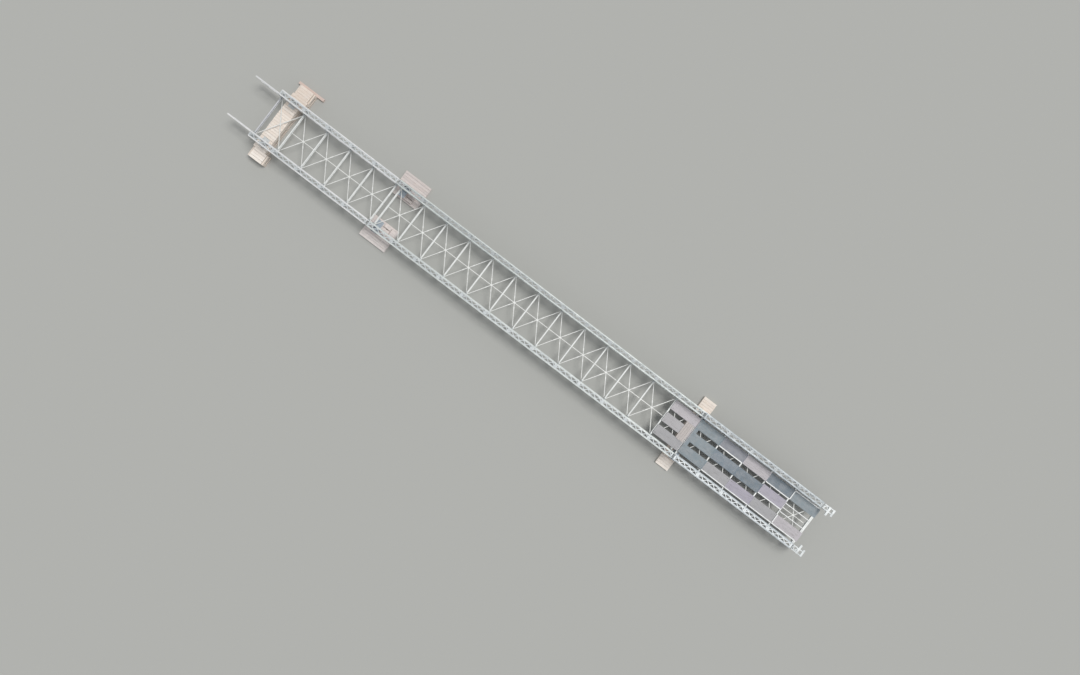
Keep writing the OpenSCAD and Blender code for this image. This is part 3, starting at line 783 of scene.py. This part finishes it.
def make_chord_bolts():
    """Bolts that hold the reinforcement to the chords of span and tail."""
    for side, runs in RUNS.items():
        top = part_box(f"{side}_top_reinforcement")[1].z
        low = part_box(f"{side}_bottom_reinforcement")[0].z
        outward = 1 if side == "north" else -1
        bolts = Parts()
        for run in runs:
            if run.section == "nose":
                continue
            reach = (outward if run.line == "outer" else -outward) * (CHORD_W - FLANGE) / 2
            for i, share in product(range(run.bays), CHORD_BOLTS_AT):
                x = run.start + (i + share) * BAY
                bolts.bolt(facing(x, run.y + reach, top, "+z"), CHORD_BOLT)
                for sense in (-1, 1):
                    bolts.bolt(facing(x, run.y + sense * reach, low, "-z"), CHORD_BOLT)
        bolts.piece(f"{side}_chord_bolts", "reinforcement_steel", PIN_STEEL)


def add_lacing_bay(plates, lo, hi, start):
    """The plates and battens of the bay of lacing that starts at a place along the bridge."""
    step = (BAY - END_GAP - LACING_W) / LACING_STROKES
    middle = (lo.y + hi.y) / 2
    rail = (hi.y - lo.y) / 2 - FLANGE
    for k in range(1, LACING_STROKES):
        sign, turn = (-1, 0) if k % 2 == 0 else (1, math.pi)
        place = Matrix.Translation((start + LACING_W / 2 + k * step, middle + sign * rail, lo.z + INSET))
        height = hi.z - lo.z - INSET - HAIR
        plates.prism(trapezium(*LACING_GUSSET), height, place @ Matrix.Rotation(turn, 4, "Z"))
    low_y, high_y = middle - rail + SKIN, middle + rail - SKIN
    for x in (start + INSET, start + BAY - END_GAP - BATTEN_W - INSET):
        plates.box((x, low_y, lo.z + BATTEN_RISE), (x + BATTEN_W, high_y, hi.z - HAIR))


def make_lacing_plates():
    """Gusset plates where the lacing bars meet their side rails, and battens across each bay's ends."""
    for side, section in product(SIDES, SECTIONS):
        plates = Parts()
        lo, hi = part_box(f"{side}_{section}_lacing")
        for i in range(round((hi.x - lo.x + END_GAP) / BAY)):
            add_lacing_bay(plates, lo, hi, lo.x + i * BAY)
        plates.piece(f"{side}_{section}_lacing_plates", "bracing_steel", LACINGS[side][section])


def make_transom_stiffeners():
    """Upright plates between the flanges of the transoms."""
    lo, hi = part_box("span_transoms")
    axis_y = (lo.y + hi.y) / 2
    stiffeners = Parts()
    for section in SECTIONS:
        for x, off, sign in product(transom_stations(section), STIFFENERS_Y, (-1, 1)):
            x0, x1 = sorted((x + sign * TRANSOM_T / 2, x + sign * (TRANSOM_W / 2 - STIFFENER_IN)))
            y0, y1 = axis_y + off - STIFFENER_T / 2, axis_y + off + STIFFENER_T / 2
            stiffeners.box((x0, y0, lo.z + TRANSOM_T), (x1, y1, hi.z - TRANSOM_T))
    stiffeners.piece("transom_stiffeners", "transom_steel", PLATE_STEEL)


def make_transom_clamps():
    """Clamps with a bolt on both sides of each truss line that hold it to the transoms."""
    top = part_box("span_transoms")[1].z
    clamps = Parts()
    for section in SECTIONS:
        for x, y, sign in product(transom_stations(section), LINES_Y, (-1, 1)):
            y0, y1 = sorted((y + sign * CLAMP_NEAR, y + sign * CLAMP_FAR))
            clamps.box((x - CLAMP_L / 2, y0, top), (x + CLAMP_L / 2, y1, top + CLAMP_T))
            clamps.bolt(facing(x, (y0 + y1) / 2, top + CLAMP_T, "+z"), CLAMP_BOLT)
    clamps.piece("transom_clamps", "transom_steel", PIN_STEEL)


def add_brace_fittings(fittings, hub, run, rise):
    """The eye, pin and sleeve on one arm of a crossed pair of sway braces."""
    arm = Vector((run, rise, 0))
    turn = Matrix.Rotation(math.atan2(rise, run), 4, "Z")
    length = abs(run)
    eye = arm * ((length - TRANSOM_W / 2 - EYE_FROM_EDGE) / length)
    place = Matrix.Translation(hub + eye) @ turn
    fittings.box((-EYE_BACK, -EYE_W / 2, -EYE_UNDER), (EYE_FRONT, EYE_W / 2, BRACE_T), place)
    fittings.disc(BRACE_PIN_R, BRACE_PIN_L, raised(place, -BRACE_PIN_UNDER), sides=12, bevel=BEVEL)
    place = Matrix.Translation(hub + arm.normalized() * SLEEVE_AT) @ turn
    sleeve = (SLEEVE_L, SLEEVE_W, BRACE_T + 2 * SLEEVE_OVER)
    fittings.block(sleeve, raised(place, -SLEEVE_OVER))


def make_brace_fittings():
    """Pins at the ends of the sway braces, sleeves beside their hubs and bolts in the hubs."""
    fittings = Parts()
    lo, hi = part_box("span_sway_braces")
    axis_y = (lo.y + hi.y) / 2
    half = (hi.y - lo.y) / 2
    for section in SECTIONS:
        stations = transom_stations(section)
        for x0, x1 in zip(stations, stations[1:]):
            middle = (x0 + x1) / 2
            run = (x1 - x0) / 2 - BRACE_W / 4
            if run < BAY / 4:
                continue
            for sx, sy in CORNERS:
                add_brace_fittings(fittings, Vector((middle, axis_y, lo.z)), sx * run, sy * half)
            for sx, sy in CORNERS:
                place = facing(middle + sx * HUB_BOLT_AT, axis_y + sy * HUB_BOLT_AT, hi.z, "+z")
                fittings.bolt(place, HUB_BOLT)
    fittings.piece("sway_brace_fittings", "brace_steel", BRACES)


def make_raker_fittings():
    """Foot plates of the rakers, bolted to the transoms of nose and span."""
    fittings = Parts()
    lo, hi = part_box("rakers")
    axis_y = (lo.y + hi.y) / 2
    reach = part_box("north_inner_span_truss")[0].y - axis_y - FOOT_IN
    low, top = lo.z - SEAT + PROUD / 2, lo.z + FOOT_T
    bolt_x, bolt_y = FOOT_BOLT_AT
    for x, sign in product(transom_stations("nose") + transom_stations("span"), (-1, 1)):
        y = axis_y + sign * reach
        fittings.block((FOOT_L, FOOT_W, top - low), facing(x, y, low, "+z"))
        for sx, sy in CORNERS:
            fittings.bolt(facing(x + sx * bolt_x, y + sy * bolt_y, top, "+z"), FOOT_BOLT)
    fittings.piece("raker_foot_plates", "bracing_steel", PLATE_STEEL)


def make_tread_bars():
    """Bars along the deck units that stand a little proud of their plates."""
    bars = Parts()
    for row in DECK_ROWS:
        for lo, hi in solid_boxes(f"{row}_deck_units"):
            for k in range(1, TREAD_PARTS):
                y = lo.y + (hi.y - lo.y) * k / TREAD_PARTS
                low = (lo.x + TREAD_END, y - TREAD_W / 2, hi.z - INSET)
                bars.box(low, (hi.x - TREAD_END, y + TREAD_W / 2, hi.z + PROUD))
    bars.piece("deck_tread_bars", "deck_middle", TREAD_STEEL)


def make_lifting_points():
    """Lifting points near the corners of the deck units."""
    points = Parts()
    for row in DECK_ROWS:
        for lo, hi in solid_boxes(f"{row}_deck_units"):
            for x, y in product((lo.x + LIFT_X, hi.x - LIFT_X), (lo.y + LIFT_Y, hi.y - LIFT_Y)):
                points.disc(LIFT_R, PROUD, facing(x, y, hi.z, "+z"))
    points.piece("deck_lifting_rings", "deck_middle", DARK_STEEL)


def make_deck_lips():
    """Folded lips at the far ends of the outer rows, lying on the last pair of transoms."""
    _, transom_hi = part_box("tail_transoms")
    low = transom_hi.z + SEAT
    for row in ("north", "south"):
        lo, hi = solid_boxes(f"{row}_deck_units")[-1]
        lips = Parts()
        lips.box((hi.x + SKIN, lo.y, low), (transom_hi.x + LIP_REACH, hi.y, low + LIP_T))
        lips.piece(f"{row}_deck_lip", f"deck_{row}", DECK_PAINTS[row])


def add_edge_flange(flanges, lo, hi, unit_middle):
    """A flange along an edge bar, on the side that looks away from the middle of its deck unit."""
    across = 1 if hi.x - lo.x > hi.y - lo.y else 0
    corner, other = lo.copy(), hi.copy()
    if (lo[across] + hi[across]) / 2 > unit_middle[across]:
        corner[across], other[across] = hi[across] + SKIN, hi[across] + EDGE_FLANGE_W
    else:
        corner[across], other[across] = lo[across] - EDGE_FLANGE_W, lo[across] - SKIN
    corner.z, other.z = hi.z - EDGE_FLANGE_H, hi.z - INSET
    flanges.box(corner, other)


def make_edge_flanges():
    """Folded flanges on the outer side of the bars along the deck units' edges."""
    flanges = Parts()
    units = [box for row in DECK_ROWS for box in solid_boxes(f"{row}_deck_units")]
    for lo, hi in solid_boxes("deck_edge_bars"):
        middle = (lo + hi) / 2
        for low, high in units:
            over = all(low[i] < middle[i] < high[i] for i in (0, 1))
            if over and lo.z > high.z - INSET:
                add_edge_flange(flanges, lo, hi, (low + high) / 2)
    flanges.piece("deck_edge_flanges", "edge_bar_steel", EDGE_BARS)


def make_joint_plates():
    """Plates over the gap between the first two units of each row, and strips in the other joints."""
    for row, reach in JOINT_REACH.items():
        units = solid_boxes(f"{row}_deck_units")
        first_lo, first_hi = units[0]
        second_lo, _ = units[1]
        plates = Parts()
        low = (first_hi.x + SKIN, first_lo.y, first_hi.z - LIP_T)
        plates.box(low, (second_lo.x - reach, first_hi.y, first_hi.z))
        top = first_hi.z - STRIP_DROP
        for (lo, hi), (next_lo, next_hi) in zip(units[1:], units[2:]):
            middle = (hi.x + next_lo.x) / 2
            y0, y1 = max(lo.y, next_lo.y), min(hi.y, next_hi.y)
            plates.box((middle - STRIP_W / 2, y0, top - LIP_T), (middle + STRIP_W / 2, y1, top))
        plates.piece(f"{row}_joint_plate", f"deck_{row}", DECK_PAINTS[row])


def make_slot_covers():
    """Plates over the start of the slots between the rows, beside the right junction."""
    second = {row: solid_boxes(f"{row}_deck_units")[1] for row in DECK_ROWS}
    lo, hi = second["middle"]
    top = hi.z - STRIP_DROP
    covers = Parts()
    for below, above in (("middle", "north"), ("south", "middle")):
        y0 = second[below][1].y + SKIN
        y1 = second[above][0].y - SKIN
        covers.box((lo.x, y0, top - COVER_T), (lo.x + COVER_L, y1, top))
    covers.piece("slot_covers", "deck_middle", DECK_PAINTS["middle"])


def make_roller_fittings():
    """Nuts on the rollers' axles and bolts in the bed plates."""
    fittings = Parts()
    reach = ROLLER_W / 2 + ROLLER_GAP + ROLLER_PLATE
    bolt_x, bolt_y = BED_BOLT_AT
    for node in ("crib_rollers", "left_bank_rollers", "right_bank_rollers"):
        lo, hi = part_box(node)
        middle = (lo.x + hi.x) / 2
        for y, sx, sy in product(LINES_Y, (-1, 1), (-1, 1)):
            axis = "+y" if sy > 0 else "-y"
            x = middle + sx * ROLLER_PITCH / 2
            fittings.bolt(facing(x, y + sy * reach, hi.z - ROLLER_D / 2, axis), ROLLER_NUT)
        for x, y in product((lo.x + bolt_x, hi.x - bolt_x), (lo.y + bolt_y, hi.y - bolt_y)):
            fittings.bolt(facing(x, y, lo.z + ROLLER_PLATE, "+z"), BED_BOLT)
    fittings.piece("roller_nuts", "roller_steel", DARK_STEEL)


def make_floor():
    mesh = bpy.data.meshes.new("floor")
    outline = rectangle((-FLOOR_REACH, -FLOOR_REACH), (FLOOR_REACH, FLOOR_REACH))
    mesh.from_pydata([(x, y, 0) for x, y in outline], [], [(0, 1, 2, 3)])
    floor = bpy.data.objects.new("floor", mesh)
    bpy.context.scene.collection.objects.link(floor)
    mesh.materials.append(Shader("floor").finish(linear(FLOOR_TONE), roughness=0.9, specular=0.1))


def make_light():
    world = bpy.data.worlds.new("studio")
    bpy.context.scene.world = world
    world.use_nodes = True
    backdrop = world.node_tree.nodes["Background"]
    backdrop.inputs["Color"].default_value = SKY_TINT
    backdrop.inputs["Strength"].default_value = SKY_STRENGTH
    lamp = bpy.data.lights.new("key", "SUN")
    lamp.energy = KEY_STRENGTH
    lamp.angle = KEY_ANGLE
    lamp.color = KEY_TINT
    key = bpy.data.objects.new("key", lamp)
    bpy.context.scene.collection.objects.link(key)
    key.rotation_euler = Vector(KEY_FROM).to_track_quat("Z", "Y").to_euler()


def make_camera():
    data = bpy.data.cameras.new("camera")
    data.sensor_fit = "HORIZONTAL"
    data.sensor_width = SENSOR_MM
    data.lens = SENSOR_MM * FOCAL_PX / IMAGE_W
    data.clip_end = VIEW_END
    camera = bpy.data.objects.new("camera", data)
    bpy.context.scene.collection.objects.link(camera)
    camera.location = CAMERA_AT
    camera.rotation_euler = (0, 0, CAMERA_TURN)
    bpy.context.scene.camera = camera


bpy.context.scene.view_settings.view_transform = "Standard"
make_camera()
make_light()
make_floor()
paint_packed_pieces()
make_timber()
make_pins()
make_gussets()
make_chord_bolts()
make_lacing_plates()
make_slot_boards()
make_transom_stiffeners()
make_transom_clamps()
make_brace_fittings()
make_raker_fittings()
make_tread_bars()
make_lifting_points()
make_deck_lips()
make_edge_flanges()
make_joint_plates()
make_slot_covers()
make_roller_fittings()
